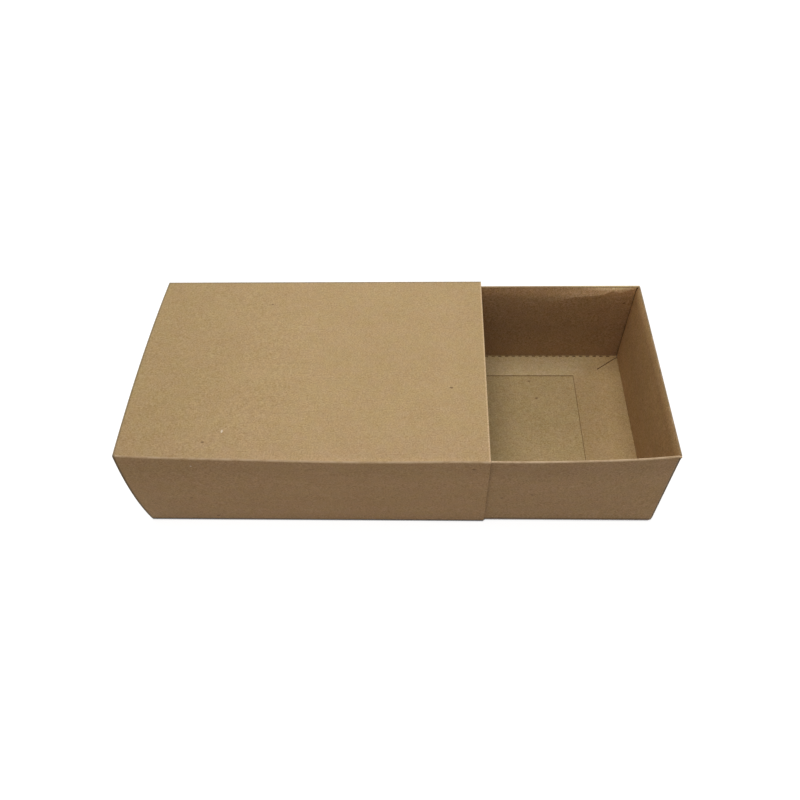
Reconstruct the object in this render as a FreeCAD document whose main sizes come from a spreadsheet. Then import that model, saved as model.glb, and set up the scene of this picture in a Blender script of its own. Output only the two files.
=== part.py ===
import FreeCAD, Part

import math
import os

import Sketcher

# A sliding drawer gift box of kraft board: a four-sided sleeve, open at both ends, and a
# double-walled drawer.  Each is one die-cut blank in real life, so the sub-parts are the panels
# of the two blanks, which meet face to face at their creases.
#
# The frame: +X is the way the drawer comes out, -Y is the front, +Z is up.  The origin is the
# middle of the sleeve's underside.  The drawer is drawn with its middle at the origin.  Its
# placement pulls it out by half its length and lets it lie against the front of the sleeve.

SIZES = {
    # the board that both blanks are cut from
    "board": 0.45,
    # the sleeve
    "sleeve_length": 170.0,
    "sleeve_width": 113.9,
    "sleeve_height": 58.6,
    "sleeve_fold": 0.9,          # outer radius of the sleeve's folds
    "foot_fold": 1.5,            # outer radius of the softer fold under the front
    "front_bow": 3.1,            # how far the front top fold is pushed out of line
    "end_bulge": 2.2,            # belly of the front panel at the empty end
    "end_crown": 2.4,            # rise of the top panel at the empty end
    "end_lift": 0.6,             # rise of the front top fold at the empty end
    "glue_flap_height": 16.0,
    "glue_flap_taper": 5.0,      # how much shorter the flap is along its free edge, at each end
    "seam_lift": 0.3,            # the back panel's cut edge stays this far above the table
    # how the drawer runs in the sleeve
    "side_clearance": 1.1,
    "front_gap": 0.35,           # the part of the side clearance that is left at the front
    "top_clearance": 0.6,
    "floor_clearance": 0.2,
    "end_inset": 0.3,            # the closed drawer stands this far inside each mouth
    "pull_out": 85.1,
    # the drawer's folds and double walls
    "drawer_crease": 0.05,       # inner radius of the folds at the foot of the outer walls
    "foot_crease": 0.2,          # inner radius where an inner wall turns onto the floor
    "corner_fold": 1.2,          # outer radius of the upright folds at the corners
    "corner_lean": 0.36,         # the rims of the long walls lean in by this much at the corners
    "drawer_bow": 2.95,          # how far the front rim bows out
    "ply_gap": 0.35,             # air between the two plies of a long wall
    "flap_clearance": 0.05,      # play of a corner flap between the plies of an end wall
    "edge_play": 0.1,            # play between a cut edge and the board beside it
    "corner_flap_length": 20.0,
    "corner_flap_taper": 4.0,
    "corner_lap": 0.6,           # the outer ply of an end wall reaches this far over the corners
    "rim_pinch": 0.1,            # air between the plies at the rim of an end wall
    "rim_flare": 0.25,           # the rim of an end wall stands out from its foot by this much
    "flare_height": 5.0,         # height over which an end wall curves out to its rim
    # the flanges that the inner walls send over the floor
    "side_flange": 15.4,
    "end_flange": 27.35,
    "slit_reach": 12.85,         # end of the corner slit, measured from the foot of the corner
    "slit_drop": 10.3,
    "slit_start": 1.1,
    "slit_width": 0.65,
    # the cut-and-crease line at the foot of the long inner walls
    "perforation_pitch": 4.0,
    "perforation_cut": 2.0,
    "perforation_width": 0.7,
    # the buckle in the inner back wall
    "dent_depth": 1.5,
    "dent_drop": 9.0,
    "dent_top": 0.8,
}

# The sleeve's sections, from the empty end to the mouth: place along the sleeve as a share of
# its length, then the shares of front_bow and end_bulge, and of the rise at the empty end.
SLEEVE_SECTIONS = [
    (-0.50, 0.18, 1.00, 1.00),
    (-0.35, 0.49, 0.62, 0.55),
    (-0.12, 0.75, 0.22, 0.13),
    (0.05, 0.96, 0.08, 0.03),
    (0.25, 1.00, 0.05, 0.02),
    (0.50, 0.97, 0.10, 0.02),
]

# The front rim's sections: place along the wall's half-span, then the share of the full bow.
# The half that stays in the sleeve is held straighter.
BOW_SECTIONS = [
    (-1.00, 0.0),
    (-0.55, 0.57),
    (-0.20, 0.81),
    (0.05, 1.0),
    (0.45, 0.88),
    (0.80, 0.48),
    (1.00, 0.0),
]

# The buckle's sections: place along the wall's half-span, then the ridge's share of the full drop
# below the rim and of the full depth, and how far up towards the rim the ridge is rounded.
DENT_SECTIONS = [
    (-1.00, 0.0, 0.0, 0.7),
    (-0.10, 0.0, 0.0, 0.7),
    (0.15, 0.35, 0.20, 0.7),
    (0.30, 0.62, 0.50, 0.7),
    (0.43, 0.88, 0.80, 0.5),
    (0.52, 0.80, 0.95, 0.15),
    (0.61, 0.54, 1.0, 0.05),
    (0.78, 0.39, 0.9, 0.05),
    (0.853, 0.12, 0.5, 0.05),
    (0.908, 0.27, 0.5, 0.05),
    (1.00, 0.0, 0.0, 0.05),
]

FRONT = -1
BACK = 1
LEFT = -1
RIGHT = 1


class Size:
    """A length in millimetres together with the sheet expression that gives it."""

    def __init__(self, value, text):
        self.value = value
        self.text = text

    def joined(self, sign, other, value):
        return Size(value, f"({self.text} {sign} {as_size(other).text})")

    def __add__(self, other):
        return self.joined("+", other, self.value + as_size(other).value)

    def __sub__(self, other):
        return self.joined("-", other, self.value - as_size(other).value)

    def __mul__(self, other):
        return self.joined("*", other, self.value * as_size(other).value)

    def __truediv__(self, other):
        return self.joined("/", other, self.value / as_size(other).value)

    def __neg__(self):
        return self * -1.0


def as_size(number):
    if isinstance(number, Size):
        return number
    return Size(float(number), f"{number:.6f}")


def smaller(one, other):
    return Size(min(one.value, other.value), f"min({one.text}; {other.text})")


doc = FreeCAD.newDocument("SlidingDrawerGiftBox")
sheet = doc.addObject("Spreadsheet::Sheet", "Sizes")
for row, (alias, number) in enumerate(SIZES.items(), start=1):
    sheet.set(f"A{row}", alias.replace("_", " "))
    sheet.set(f"B{row}", str(number))
    sheet.setAlias(f"B{row}", alias)
doc.recompute()


def size(alias):
    return Size(float(sheet.get(alias)), f"Sizes.{alias}")


# ---------------------------------------------------------------- lengths that several panels use

BOARD = size("board")
EDGE_PLAY = size("edge_play")

SLEEVE_HALF_WIDTH = size("sleeve_width") / 2
SLEEVE_HEIGHT = size("sleeve_height")
SLEEVE_FOLD = size("sleeve_fold")
SLEEVE_FOOT_FOLD = size("foot_fold")

DRAWER_HALF_LENGTH = size("sleeve_length") / 2 - size("end_inset")
DRAWER_HALF_WIDTH = SLEEVE_HALF_WIDTH - BOARD - size("side_clearance")
DRAWER_UNDERSIDE = BOARD + size("floor_clearance")
DRAWER_TOP = SLEEVE_HEIGHT - BOARD - size("top_clearance")
DRAWER_FOLD = BOARD + size("drawer_crease")
CORNER_FOLD = size("corner_fold")

LONG_WALL = BOARD * 2 + size("ply_gap")
END_WALL = BOARD * 3 + size("flap_clearance") * 2
LONG_ROLL = LONG_WALL / 2
END_ROLL = BOARD + size("rim_pinch") / 2
WALL_FOOT = DRAWER_UNDERSIDE + DRAWER_FOLD
WALL_HEAD = DRAWER_TOP - LONG_ROLL

# The long walls stop where the corner fold begins, inside the end wall's outer ply.
CORNER_FACE = DRAWER_HALF_LENGTH - BOARD - size("flap_clearance")
LONG_HALF_SPAN = CORNER_FACE - CORNER_FOLD

FLANGE_UNDERSIDE = DRAWER_UNDERSIDE + BOARD
FLANGE_TOP = FLANGE_UNDERSIDE + BOARD
FOOT_CREASE = size("foot_crease")
INNER_WALL_FOOT = FLANGE_TOP + FOOT_CREASE
INNER_HALF_WIDTH = DRAWER_HALF_WIDTH - LONG_WALL
INNER_HALF_LENGTH = DRAWER_HALF_LENGTH - END_WALL
CORNER_LEAN = size("corner_lean")

# The end walls reach across between the rims of the long walls and between the corner folds.
END_HALF_SPAN = smaller(INNER_HALF_WIDTH, DRAWER_HALF_WIDTH - CORNER_FOLD) - CORNER_LEAN - EDGE_PLAY

# An end wall stands upright up to the flare.  Above it both plies curve outward to a round rim.
FLARE_FOOT = DRAWER_TOP - size("flare_height")
FLARE_RISE = size("flare_height") - END_ROLL
RIM_ACROSS = DRAWER_HALF_LENGTH + size("rim_flare") - END_ROLL
RIM_UP = DRAWER_TOP - END_ROLL


# ---------------------------------------------------------------- drawing helpers

def new_body(label, in_drawer=False):
    """A sub-part.  Those of the drawer are carried to where it lies by their placement."""
    body = doc.addObject("PartDesign::Body", label)
    body.Label = label
    if in_drawer:
        body.setExpression("Placement.Base.x", size("pull_out").text)
        body.setExpression("Placement.Base.y", (size("front_gap") - size("side_clearance")).text)
    return body


def origin_feature(body, role):
    return next(item for item in body.Origin.OriginFeatures if item.Role == role)


def arc_between(start, end, radius):
    """The short arc from start to end: a positive radius turns left, a negative one right."""
    chord = end - start
    reach = math.sqrt(max(radius ** 2 - (chord.Length / 2) ** 2, 0.0))
    left = FreeCAD.Vector(-chord.y, chord.x, 0).normalize()
    centre = (start + end) / 2 + left * math.copysign(reach, radius)
    circle = Part.Circle(centre, FreeCAD.Vector(0, 0, 1), abs(radius))
    first, last = (start, end) if radius > 0 else (end, start)
    first_angle = math.atan2(first.y - centre.y, first.x - centre.x)
    last_angle = math.atan2(last.y - centre.y, last.x - centre.x)
    return Part.ArcOfCircle(circle, first_angle, last_angle)


def new_sketch(body, name, plane, points, offset=None):
    """A closed outline on one of the body's origin planes, or at an offset from it.

    Each point is (across, up), or (across, up, radius) where the edge that leaves it is an arc.
    Every corner and radius is held by a constraint that the sheet drives.
    """
    sketch = body.newObject("Sketcher::SketchObject", name)
    sketch.AttachmentSupport = [(origin_feature(body, plane), "")]
    sketch.MapMode = "FlatFace"
    if offset is not None:
        sketch.setExpression("AttachmentOffset.Base.z", as_size(offset).text)
    corners = [FreeCAD.Vector(as_size(point[0]).value, as_size(point[1]).value, 0) for point in points]
    starts = []
    for index, point in enumerate(points):
        start = corners[index]
        end = corners[(index + 1) % len(points)]
        if len(point) == 3:
            edge = sketch.addGeometry(arc_between(start, end, point[2].value))
            forward = point[2].value > 0
            held = sketch.addConstraint(Sketcher.Constraint("Radius", edge, abs(point[2].value)))
            sketch.setExpression(f"Constraints[{held}]", f"abs({point[2].text})")
        else:
            edge = sketch.addGeometry(Part.LineSegment(start, end))
            forward = True
        starts.append((edge, 1 if forward else 2, 2 if forward else 1))
    for index, (edge, first, last) in enumerate(starts):
        next_edge, next_first, unused = starts[(index + 1) % len(starts)]
        sketch.addConstraint(Sketcher.Constraint("Coincident", edge, last, next_edge, next_first))
        for direction, coordinate in (("DistanceX", points[index][0]), ("DistanceY", points[index][1])):
            length = as_size(coordinate)
            held = sketch.addConstraint(
                Sketcher.Constraint(direction, -1, 1, edge, first, length.value))
            sketch.setExpression(f"Constraints[{held}]", length.text)
    return sketch


def pad(body, name, sketch, length, both_ways=False, backwards=False):
    feature = body.newObject("PartDesign::Pad", name)
    feature.Profile = sketch
    feature.setExpression("Length", as_size(length).text)
    feature.Midplane = both_ways
    feature.Reversed = backwards
    return feature


def loft(body, name, sections, ruled=False):
    feature = body.newObject("PartDesign::AdditiveLoft", name)
    feature.Profile = sections[0]
    feature.Sections = sections[1:]
    feature.Ruled = ruled
    return feature


def rectangle(left, right, bottom, top):
    return [(left, bottom), (right, bottom), (right, top), (left, top)]


def facing(side, points):
    """An outline drawn outward along the first axis, turned to face the given side."""
    turned = []
    for point in points:
        across = as_size(point[0]) * side
        if len(point) == 3:
            turned.append((across, point[1], point[2] * side))
        else:
            turned.append((across, point[1]))
    return turned


def bulged(chord, rise):
    """Radius of the arc that stands out by rise over a chord."""
    return chord * chord / (rise * 8) + rise / 2


def quarter_fold(face, foot, radius):
    """Quarter-round strip of board that turns from lying flat up into a wall at face."""
    return [
        (face - radius, foot, radius),
        (face, foot + radius),
        (face - BOARD, foot + radius, -(radius - BOARD)),
        (face - radius, foot + BOARD),
    ]


def half_roll(face, top, radius):
    """Half-round rim that turns from the outer ply at face over into the inner ply."""
    return [
        (face, top - radius, radius),
        (face - radius, top, radius),
        (face - radius * 2, top - radius),
        (face - radius * 2 + BOARD, top - radius, -(radius - BOARD)),
        (face - radius, top - BOARD, -(radius - BOARD)),
        (face - BOARD, top - radius),
    ]


def lean_at(height):
    """How far the long walls lean in at the corners, at a height above the table."""
    return CORNER_LEAN * (height - WALL_FOOT) / (WALL_HEAD - WALL_FOOT)


def foot_fold(face):
    """Strip that turns from an inner wall at face onto the floor, towards the middle."""
    radius = FOOT_CREASE + BOARD
    return [
        (face - FOOT_CREASE, FLANGE_TOP, FOOT_CREASE),
        (face, INNER_WALL_FOOT),
        (face + BOARD, INNER_WALL_FOOT, -radius),
        (face - FOOT_CREASE, FLANGE_UNDERSIDE),
    ]


# ---------------------------------------------------------------- the sleeve

def sleeve_bottom_panel():
    body = new_body("sleeve_bottom_panel")
    half_length = size("sleeve_length") / 2
    front = -(SLEEVE_HALF_WIDTH - SLEEVE_FOOT_FOLD)
    back = SLEEVE_HALF_WIDTH - BOARD - SLEEVE_FOLD
    outline = rectangle(-half_length, half_length, front, back)
    sketch = new_sketch(body, "BottomOutline", "XY_Plane", outline)
    pad(body, "BottomPanel", sketch, BOARD)
    return body


def front_panel_section(bow, bulge, lift):
    """The front panel with the folds at its foot and its top, seen along the slide."""
    face = SLEEVE_HALF_WIDTH
    top_face = SLEEVE_HALF_WIDTH + bow
    foot = SLEEVE_FOOT_FOLD
    top = SLEEVE_HEIGHT + lift
    head = top - SLEEVE_FOLD
    belly = bulged(head - foot, bulge)
    return [
        (face - foot, as_size(0), foot),
        (face, foot, belly),
        (top_face, head, SLEEVE_FOLD),
        (top_face - SLEEVE_FOLD, top),
        (top_face - SLEEVE_FOLD, top - BOARD, BOARD - SLEEVE_FOLD),
        (top_face - BOARD, head, -belly),
        (face - BOARD, foot, BOARD - foot),
        (face - foot, BOARD),
    ]


def sleeve_front_panel():
    body = new_body("sleeve_front_panel")
    sections = []
    for number, (place, bow, bulge, slack) in enumerate(SLEEVE_SECTIONS):
        outline = front_panel_section(
            size("front_bow") * bow, size("end_bulge") * bulge, size("end_lift") * slack)
        station = size("sleeve_length") * place
        sketch = new_sketch(body, f"FrontSection{number}", "YZ_Plane", facing(FRONT, outline), station)
        sections.append(sketch)
    loft(body, "FrontPanel", sections)
    return body


def sleeve_top_panel():
    """Flat over the drawer, arched where the sleeve stands empty."""
    body = new_body("sleeve_top_panel")
    sections = []
    back = SLEEVE_HALF_WIDTH - SLEEVE_FOLD
    for number, (place, bow, bulge, slack) in enumerate(SLEEVE_SECTIONS):
        front = -(back + size("front_bow") * bow)
        front_top = SLEEVE_HEIGHT + size("end_lift") * slack
        arch = bulged(back - front, size("end_crown") * slack)
        outline = [
            (front, front_top - BOARD, -arch),
            (back, SLEEVE_HEIGHT - BOARD),
            (back, SLEEVE_HEIGHT, arch),
            (front, front_top),
        ]
        station = size("sleeve_length") * place
        sections.append(new_sketch(body, f"TopSection{number}", "YZ_Plane", outline, station))
    loft(body, "TopPanel", sections)
    return body


def sleeve_back_panel():
    """Hangs from the top fold over the glue flap, and ends in a cut edge just above the table."""
    body = new_body("sleeve_back_panel")
    head = SLEEVE_HEIGHT - SLEEVE_FOLD
    outline = [
        (SLEEVE_HALF_WIDTH, size("seam_lift")),
        (SLEEVE_HALF_WIDTH, head, SLEEVE_FOLD),
        (SLEEVE_HALF_WIDTH - SLEEVE_FOLD, SLEEVE_HEIGHT),
        (SLEEVE_HALF_WIDTH - SLEEVE_FOLD, SLEEVE_HEIGHT - BOARD, -(SLEEVE_FOLD - BOARD)),
        (SLEEVE_HALF_WIDTH - BOARD, head),
        (SLEEVE_HALF_WIDTH - BOARD, size("seam_lift")),
    ]
    sketch = new_sketch(body, "BackSection", "YZ_Plane", outline)
    pad(body, "BackPanel", sketch, size("sleeve_length"), both_ways=True)
    return body


def sleeve_glue_flap():
    """Folds up from the bottom panel and is glued inside the back panel."""
    body = new_body("sleeve_glue_flap")
    face = SLEEVE_HALF_WIDTH - BOARD
    fold = new_sketch(body, "FlapFold", "YZ_Plane", quarter_fold(face, as_size(0), SLEEVE_FOLD))
    pad(body, "FlapCrease", fold, size("sleeve_length"), both_ways=True)
    half_length = size("sleeve_length") / 2
    half_tip = half_length - size("glue_flap_taper")
    outline = [
        (-half_length, SLEEVE_FOLD),
        (half_length, SLEEVE_FOLD),
        (half_tip, size("glue_flap_height")),
        (-half_tip, size("glue_flap_height")),
    ]
    upright = new_sketch(body, "FlapOutline", "XZ_Plane", outline, -face)
    pad(body, "GlueFlap", upright, BOARD)
    return body


# ---------------------------------------------------------------- the drawer's long walls

def drawer_floor():
    body = new_body("drawer_floor", in_drawer=True)
    half_length = DRAWER_HALF_LENGTH - DRAWER_FOLD
    half_width = DRAWER_HALF_WIDTH - DRAWER_FOLD
    outline = rectangle(-half_length, half_length, -half_width, half_width)
    sketch = new_sketch(body, "FloorOutline", "XY_Plane", outline, DRAWER_UNDERSIDE)
    pad(body, "Floor", sketch, BOARD)
    return body


def long_wall_sections(side):
    """Places along a long wall and how far its rim stands out of line there."""
    if side == BACK:
        return [(place, -CORNER_LEAN) for place in (-1.0, 1.0)]
    whole_bow = size("drawer_bow") + CORNER_LEAN
    return [(place, whole_bow * share - CORNER_LEAN) for place, share in BOW_SECTIONS]


def long_outer_wall(label, side):
    """Fold at the foot, outer ply, and the rim rolled over towards the inner ply."""
    body = new_body(label, in_drawer=True)
    fold_out, fold_up, fold_in, fold_back = quarter_fold(DRAWER_HALF_WIDTH, DRAWER_UNDERSIDE, DRAWER_FOLD)
    sections = []
    for number, (place, lean) in enumerate(long_wall_sections(side)):
        rim = half_roll(DRAWER_HALF_WIDTH + lean, DRAWER_TOP, LONG_ROLL)
        outline = facing(side, [fold_out, fold_up] + rim + [fold_in, fold_back])
        station = LONG_HALF_SPAN * place
        sections.append(new_sketch(body, f"WallSection{number}", "YZ_Plane", outline, station))
    loft(body, "OuterWall", sections)
    over_corner = DRAWER_HALF_LENGTH - size("flap_clearance") - LONG_HALF_SPAN
    rim = facing(side, half_roll(DRAWER_HALF_WIDTH - CORNER_LEAN, DRAWER_TOP, LONG_ROLL))
    for name, end in (("Left", LEFT), ("Right", RIGHT)):
        sketch = new_sketch(body, f"{name}RimSection", "YZ_Plane", rim, LONG_HALF_SPAN * end)
        pad(body, f"{name}RimEnd", sketch, over_corner, backwards=end == LEFT)
    return body


def front_inner_wall():
    """The ply that hangs from the rolled rim, bowed out with it."""
    body = new_body("drawer_front_inner_wall", in_drawer=True)
    sections = []
    for number, (place, lean) in enumerate(long_wall_sections(FRONT)):
        outline = facing(FRONT, [
            (INNER_HALF_WIDTH, INNER_WALL_FOOT),
            (INNER_HALF_WIDTH + BOARD, INNER_WALL_FOOT),
            (INNER_HALF_WIDTH + BOARD + lean, WALL_HEAD),
            (INNER_HALF_WIDTH + lean, WALL_HEAD),
        ])
        station = LONG_HALF_SPAN * place
        sections.append(new_sketch(body, f"PlySection{number}", "YZ_Plane", outline, station))
    loft(body, "InnerWall", sections)
    return body


def back_inner_wall():
    """The ply that hangs from the rolled rim, buckled inwards below it: softly at the left, and in
    a sharp ridge at the right."""
    body = new_body("drawer_back_inner_wall", in_drawer=True)
    head = INNER_HALF_WIDTH - CORNER_LEAN
    sections = []
    for number, (place, drop, depth, softness) in enumerate(DENT_SECTIONS):
        ridge = WALL_HEAD - size("dent_top") - size("dent_drop") * drop
        ridge_face = INNER_HALF_WIDTH - lean_at(ridge) - size("dent_depth") * depth
        reach = (WALL_HEAD - ridge) * softness
        above = (ridge_face + (head - ridge_face) * softness, ridge + reach)
        below_share = reach / (ridge - INNER_WALL_FOOT)
        below = (ridge_face + (INNER_HALF_WIDTH - ridge_face) * below_share, ridge - reach)
        turn = tuple((first + second + middle * 2) / 4
                     for first, second, middle in zip(above, below, (ridge_face, ridge)))
        face = [(INNER_HALF_WIDTH, INNER_WALL_FOOT), below, turn, above, (head, WALL_HEAD)]
        reverse = [(across + BOARD, up) for across, up in face]
        station = LONG_HALF_SPAN * place
        sections.append(new_sketch(body, f"PlySection{number}", "YZ_Plane", reverse + face[::-1], station))
    loft(body, "InnerWall", sections, ruled=True)
    return body


def side_flange(label, side):
    """Lies on the floor along a long wall, with its ends mitred to meet the end flanges."""
    body = new_body(label, in_drawer=True)
    corner = INNER_HALF_LENGTH - EDGE_PLAY
    crease = INNER_HALF_WIDTH - FOOT_CREASE
    mitre = [
        (corner, crease),
        (corner, INNER_HALF_WIDTH - size("slit_start")),
        (INNER_HALF_LENGTH - size("slit_reach"), INNER_HALF_WIDTH - size("slit_drop")),
        (INNER_HALF_LENGTH - size("end_flange"), INNER_HALF_WIDTH - size("side_flange")),
    ]
    other_mitre = [(-along, across) for along, across in reversed(mitre)]
    outline = [(along, across * side) for along, across in mitre + other_mitre]
    plate = new_sketch(body, "FlangeOutline", "XY_Plane", outline, FLANGE_UNDERSIDE)
    pad(body, "Flange", plate, BOARD)
    fold = new_sketch(body, "FootSection", "YZ_Plane", facing(side, foot_fold(INNER_HALF_WIDTH)))
    pad(body, "FootFold", fold, corner * 2, both_ways=True)
    perforate(body, side)
    return body


def perforate(body, side):
    """Short cuts along the foot fold, one each pitch, so that the board folds where it should."""
    pitch = size("perforation_pitch")
    count = math.floor((INNER_HALF_LENGTH.value * 2 - pitch.value) / pitch.value)
    first = pitch * (-(count - 1) / 2)
    near = INNER_HALF_WIDTH - FOOT_CREASE
    outline = rectangle(
        first - size("perforation_cut") / 2,
        first + size("perforation_cut") / 2,
        (near - size("perforation_width")) * side,
        near * side,
    )
    cut = new_sketch(body, "CutOutline", "XY_Plane", outline, DRAWER_UNDERSIDE)
    pocket = body.newObject("PartDesign::Pocket", "Cut")
    pocket.Profile = cut
    pocket.Reversed = True
    pocket.setExpression("Length", (INNER_WALL_FOOT - DRAWER_UNDERSIDE + BOARD).text)
    row = body.newObject("PartDesign::LinearPattern", "CutRow")
    row.Originals = [pocket]
    row.Direction = (origin_feature(body, "X_Axis"), [""])
    row.setExpression("Length", (pitch * (count - 1)).text)
    row.Occurrences = count
    body.Tip = row


# ---------------------------------------------------------------- the drawer's end walls

def rim_point(across, up, radius):
    """A point at the given radius from the middle of an end wall's rim, in a given direction."""
    return RIM_ACROSS + across * radius, RIM_UP + up * radius


def outer_flare():
    """Radius of the outer ply's flare, and the direction in which it runs into the rim."""
    shortfall = END_ROLL - size("rim_flare")
    radius = (FLARE_RISE * FLARE_RISE / size("rim_flare") - END_ROLL - shortfall) / 2
    return radius, (radius + shortfall) / (radius + END_ROLL), -FLARE_RISE / (radius + END_ROLL)


def inner_flare():
    """Radius of the inner ply's flare, and the direction in which it leaves the rim."""
    reach = RIM_ACROSS - INNER_HALF_LENGTH
    radius = (FLARE_RISE * FLARE_RISE / (reach - END_ROLL) + END_ROLL + reach) / 2
    return radius, (reach - radius) / (radius - END_ROLL), FLARE_RISE / (radius - END_ROLL)


def trim(body, name, outline, station):
    """Cuts the board of an end to an outline that is drawn as seen along the slide."""
    pocket = body.newObject("PartDesign::Pocket", name)
    pocket.Profile = new_sketch(body, f"{name}Outline", "YZ_Plane", outline, station)
    pocket.Midplane = True
    pocket.setExpression("Length", (BOARD * 3).text)


def end_outer_wall(label, side):
    """Fold at the foot, outer ply, and the rim that both plies share.  The ply laps over the corner
    folds, below the rim ends of the long walls."""
    body = new_body(label, in_drawer=True)
    face = DRAWER_HALF_LENGTH
    fold_out, fold_up, fold_in, fold_back = quarter_fold(face, DRAWER_UNDERSIDE, DRAWER_FOLD)
    radius, across, up = outer_flare()
    unused, inner_across, inner_up = inner_flare()
    crease = END_ROLL - BOARD
    outline = [
        fold_out,
        fold_up,
        (face, FLARE_FOOT, -radius),
        (*rim_point(across, up, END_ROLL), END_ROLL),
        rim_point(inner_across, inner_up, END_ROLL),
        rim_point(inner_across, inner_up, crease),
        (*rim_point(across, up, crease), radius + BOARD),
        (face - BOARD, FLARE_FOOT),
        fold_in,
        fold_back,
    ]
    sketch = new_sketch(body, "WallSection", "XZ_Plane", facing(side, outline))
    lap_tip = END_HALF_SPAN + size("corner_lap")
    pad(body, "OuterWall", sketch, lap_tip * 2, both_ways=True)
    lap_head = WALL_HEAD - EDGE_PLAY
    for name, end in (("FrontRimStop", FRONT), ("BackRimStop", BACK)):
        outline = rectangle(END_HALF_SPAN * end, (lap_tip + BOARD) * end, lap_head, DRAWER_TOP + BOARD)
        trim(body, name, outline, RIM_ACROSS * side)
    return body


def end_inner_wall(label, side):
    body = new_body(label, in_drawer=True)
    radius, across, up = inner_flare()
    outline = [
        (INNER_HALF_LENGTH, INNER_WALL_FOOT),
        (INNER_HALF_LENGTH + BOARD, INNER_WALL_FOOT),
        (INNER_HALF_LENGTH + BOARD, FLARE_FOOT, BOARD - radius),
        rim_point(across, up, END_ROLL - BOARD),
        (*rim_point(across, up, END_ROLL), radius),
        (INNER_HALF_LENGTH, FLARE_FOOT),
    ]
    sketch = new_sketch(body, "PlySection", "XZ_Plane", facing(side, outline))
    pad(body, "InnerPly", sketch, END_HALF_SPAN * 2, both_ways=True)
    return body


def end_flange(label, side):
    """Lies on the floor along an end wall.  A slit parts it from the side flanges at the corner."""
    body = new_body(label, in_drawer=True)
    at_wall = INNER_HALF_WIDTH - size("slit_start") - size("slit_width")
    slit_end = INNER_HALF_LENGTH - size("slit_reach")
    far_edge = INNER_HALF_WIDTH - size("slit_drop")
    mitre = [
        (INNER_HALF_LENGTH - FOOT_CREASE, at_wall),
        (slit_end, far_edge - size("slit_width")),
        (slit_end, far_edge),
        (INNER_HALF_LENGTH - size("end_flange"), INNER_HALF_WIDTH - size("side_flange")),
    ]
    other_mitre = [(along, -across) for along, across in reversed(mitre)]
    outline = facing(side, mitre + other_mitre)
    plate = new_sketch(body, "FlangeOutline", "XY_Plane", outline, FLANGE_UNDERSIDE)
    pad(body, "Flange", plate, BOARD)
    fold = new_sketch(body, "FootSection", "XZ_Plane", facing(side, foot_fold(INNER_HALF_LENGTH)))
    pad(body, "FootFold", fold, at_wall * 2, both_ways=True)
    return body


def bent_strip(body, end, side):
    """The board that turns the corner, drawn from above and leaning in with the long wall."""
    foot = WALL_FOOT + EDGE_PLAY
    head = WALL_HEAD - EDGE_PLAY
    tip = -CORNER_FOLD - size("corner_flap_length")
    outline = [
        (LONG_HALF_SPAN, as_size(0)),
        (LONG_HALF_SPAN, -BOARD, BOARD - CORNER_FOLD),
        (CORNER_FACE - BOARD, -CORNER_FOLD),
        (CORNER_FACE - BOARD, tip),
        (CORNER_FACE, tip),
        (CORNER_FACE, -CORNER_FOLD, CORNER_FOLD),
    ]
    if side == FRONT:
        outline = [(point[0], -point[1]) + tuple(-radius for radius in point[2:]) for point in outline]
    sketch = new_sketch(body, "StripOutline", "XY_Plane", facing(end, outline), foot)
    lean = CORNER_LEAN / (WALL_HEAD - WALL_FOOT) * side
    tilt = FreeCAD.Rotation(FreeCAD.Vector(1, 0, 0), math.degrees(math.atan(lean.value)))
    sketch.AttachmentOffset = FreeCAD.Placement(FreeCAD.Vector(0, 0, foot.value), tilt)
    sketch.setExpression("AttachmentOffset.Base.y", ((DRAWER_HALF_WIDTH - lean_at(foot)) * side).text)
    sketch.setExpression("AttachmentOffset.Rotation.Angle", f"atan({lean.text})")
    pad(body, "Strip", sketch, head - foot)


def corner_flap(label, end, side):
    """Turns round the corner from a long wall and is held between the plies of the end wall."""
    body = new_body(label, in_drawer=True)
    bent_strip(body, end, side)
    root = DRAWER_HALF_WIDTH - CORNER_FOLD - CORNER_LEAN - EDGE_PLAY
    beyond = root - size("corner_flap_length") - BOARD
    foot = INNER_WALL_FOOT + EDGE_PLAY
    head = FLARE_FOOT - EDGE_PLAY
    above = [
        (root, head),
        (root, DRAWER_TOP),
        (beyond, DRAWER_TOP),
        (beyond, head - size("corner_flap_taper")),
    ]
    below = [
        (root, foot),
        (beyond, foot + size("corner_flap_taper")),
        (beyond, DRAWER_UNDERSIDE),
        (root, DRAWER_UNDERSIDE),
    ]
    station = (CORNER_FACE - BOARD / 2) * end
    trim(body, "HeadTrim", facing(side, above), station)
    trim(body, "FootTrim", facing(side, below), station)
    return body


# ---------------------------------------------------------------- build, check and write

def broken(item):
    return "Invalid" in item.State or "Error" in item.State


def write_parts(bodies):
    for item in doc.Objects:
        if broken(item):
            raise RuntimeError(f"{item.Label} failed: {item.State}")
    for body in bodies:
        shape = body.Shape
        if shape.isNull() or not shape.isValid() or len(shape.Solids) != 1:
            raise RuntimeError(f"{body.Label} is not one sound solid")
    os.makedirs("parts", exist_ok=True)
    for body in bodies:
        body.Shape.exportStep(f"parts/{body.Label}.step")
        print(f"{body.Label}: {body.Shape.Volume:.1f} mm3")


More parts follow.
